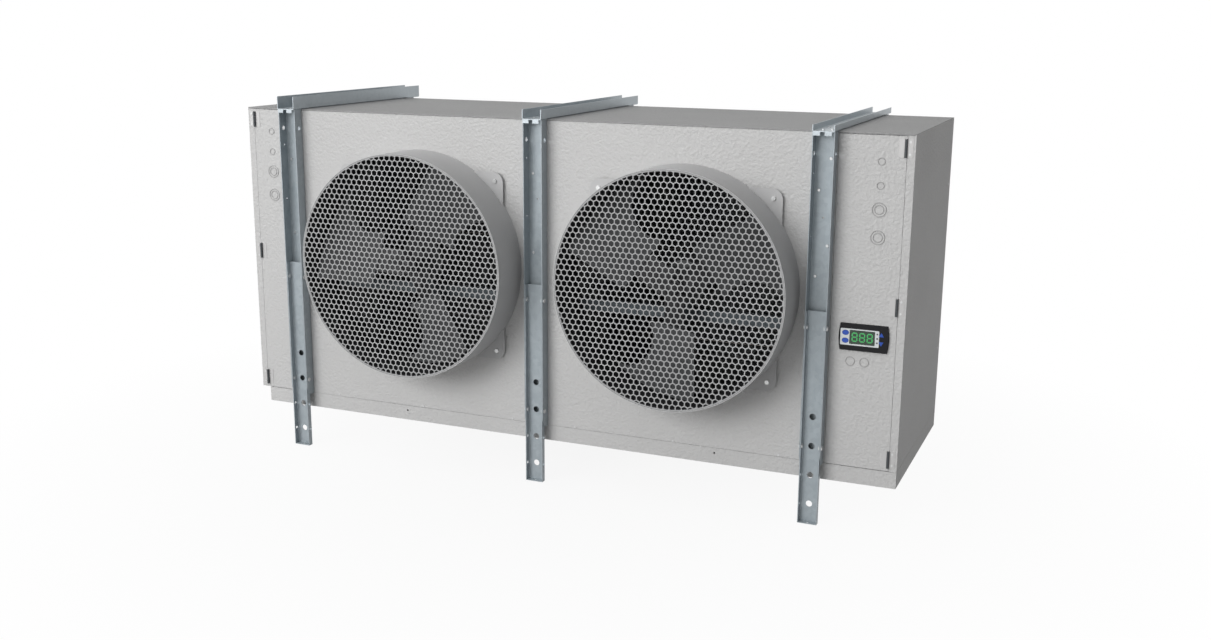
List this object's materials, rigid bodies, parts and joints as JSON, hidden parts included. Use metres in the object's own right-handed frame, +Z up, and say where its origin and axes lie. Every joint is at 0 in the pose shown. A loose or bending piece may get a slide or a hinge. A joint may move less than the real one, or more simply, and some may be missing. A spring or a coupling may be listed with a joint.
{
  "type": "walk-in unit cooler",
  "caption": "Ceiling-hung evaporator cabinet with guarded fans in deep round collars, end doors, a drain pan, folded hanger rails and bolted transit legs.",
  "frame": {"origin": "middle of the whole unit's width and depth, at floor level under the feet", "axes": "+X across the cabinet from the door at the left to the controller's end, as seen from the front; -Y out of the fans' front; +Z up"},
  "size_m": [2.5236, 1.023, 1.356],
  "materials": {
    "cabinet_sheet": "fine stucco-embossed mill sheet",
    "top_sheet": "fine stucco-embossed mill sheet",
    "galvanised": "bright galvanised with a fine spangle",
    "guard_metal": "bright punched sheet",
    "collar_metal": "satin grey enamel",
    "blade_metal": "satin sheet",
    "spider_metal": "black enamel",
    "motor_paint": "semi-gloss dark grey",
    "fin_metal": "bright thin sheet",
    "copper": "drawn copper tube, slightly dull",
    "heater_steel": "stainless sheath",
    "fastener_zinc": "bright zinc plated",
    "hinge_steel": "bright pressed steel",
    "controller_case": "fine satin black",
    "display_face": "dark tinted window with a green figure behind",
    "key_face": "blue rubbery film",
    "box_grey": "satin grey",
    "drain_brass": "turned brass"
  },
  "bodies": {
    "cabinet": {"channel_rivets": "fastener_zinc", "coil_fins": "fin_metal", "coil_tubes": "copper", "collar_bolts": "fastener_zinc", "defrost_heaters": "heater_steel", "distributor": "copper", "end_panel_left": "cabinet_sheet", "end_panel_right": "cabinet_sheet", "fan_collar_left": "collar_metal", "fan_collar_right": "collar_metal", "fan_guard_left": "guard_metal", "fan_guard_right": "guard_metal", "fan_motor_left": "motor_paint", "fan_motor_right": "motor_paint", "fan_panel_left": "cabinet_sheet", "fan_panel_right": "cabinet_sheet", "front_channel_centre": "galvanised", "front_channel_left": "galvanised", "front_channel_right": "galvanised", "front_leg_centre": "galvanised", "front_leg_left": "galvanised", "front_leg_right": "galvanised", "hanger_rail_centre": "galvanised", "hanger_rail_left": "galvanised", "hanger_rail_right": "galvanised", "hinge_leaves_fixed": "hinge_steel", "hinge_pins": "hinge_steel", "leg_bolts": "fastener_zinc", "liquid_line": "copper", "motor_bracket_left": "galvanised", "motor_bracket_right": "galvanised", "panel_screws": "fastener_zinc", "partition_centre": "cabinet_sheet", "partition_left": "cabinet_sheet", "partition_right": "cabinet_sheet", "rail_screws": "fastener_zinc", "rear_channels": "galvanised", "rear_cover_left": "cabinet_sheet", "rear_cover_right": "cabinet_sheet", "rear_legs": "galvanised", "suction_header": "copper", "terminal_box": "box_grey", "top_panel": "top_sheet"},
    "fan_left": {"fan_blades_left": "blade_metal", "fan_spider_left": "spider_metal"},
    "fan_right": {"fan_blades_right": "blade_metal", "fan_spider_right": "spider_metal"},
    "door_left": {"door_left": "cabinet_sheet", "hinge_leaf_door_left": "hinge_steel"},
    "door_right": {"door_right": "cabinet_sheet", "hinge_leaf_door_right": "hinge_steel", "controller_bezel": "controller_case", "display_window": "display_face"},
    "drain_pan": {"drain_pan": "cabinet_sheet", "drain_fitting": "drain_brass", "hinge_leaf_pan": "hinge_steel"},
    "button_set": {"button_set": "key_face"},
    "button_back": {"button_back": "key_face"},
    "button_up": {"button_up": "key_face"},
    "button_down": {"button_down": "key_face"}
  },
  "joints": [
    {"name": "fan_left_spin", "type": "hinge", "parent": "cabinet", "child": "fan_left", "pos_m": [-0.508, -0.4245, 0.776], "axis": [0, 1, 0], "continuous": true},
    {"name": "fan_right_spin", "type": "hinge", "parent": "cabinet", "child": "fan_right", "pos_m": [0.508, -0.4245, 0.776], "axis": [0, 1, 0], "continuous": true},
    {"name": "door_left_hinge", "type": "hinge", "parent": "cabinet", "child": "door_left", "pos_m": [-1.2305, -0.3413, 0.75475], "axis": [0, 0, -1], "range_deg": [0, 110]},
    {"name": "door_right_hinge", "type": "hinge", "parent": "cabinet", "child": "door_right", "pos_m": [1.2305, -0.3413, 0.75475], "axis": [0, 0, 1], "range_deg": [0, 110]},
    {"name": "drain_pan_hinge", "type": "hinge", "parent": "cabinet", "child": "drain_pan", "pos_m": [0, 0.4263, 0.2065], "axis": [1, 0, 0], "range_deg": [0, 10.5]},
    {"name": "button_set_press", "type": "slide", "parent": "door_right", "child": "button_set", "axis": [0, 1, 0], "range_m": [0, 0.0012], "stiffness_N_per_m": 400, "springref_m": -0.0015},
    {"name": "button_back_press", "type": "slide", "parent": "door_right", "child": "button_back", "axis": [0, 1, 0], "range_m": [0, 0.0012], "stiffness_N_per_m": 400, "springref_m": -0.0015},
    {"name": "button_up_press", "type": "slide", "parent": "door_right", "child": "button_up", "axis": [0, 1, 0], "range_m": [0, 0.0012], "stiffness_N_per_m": 400, "springref_m": -0.0015},
    {"name": "button_down_press", "type": "slide", "parent": "door_right", "child": "button_down", "axis": [0, 1, 0], "range_m": [0, 0.0012], "stiffness_N_per_m": 400, "springref_m": -0.0015}
  ]
}
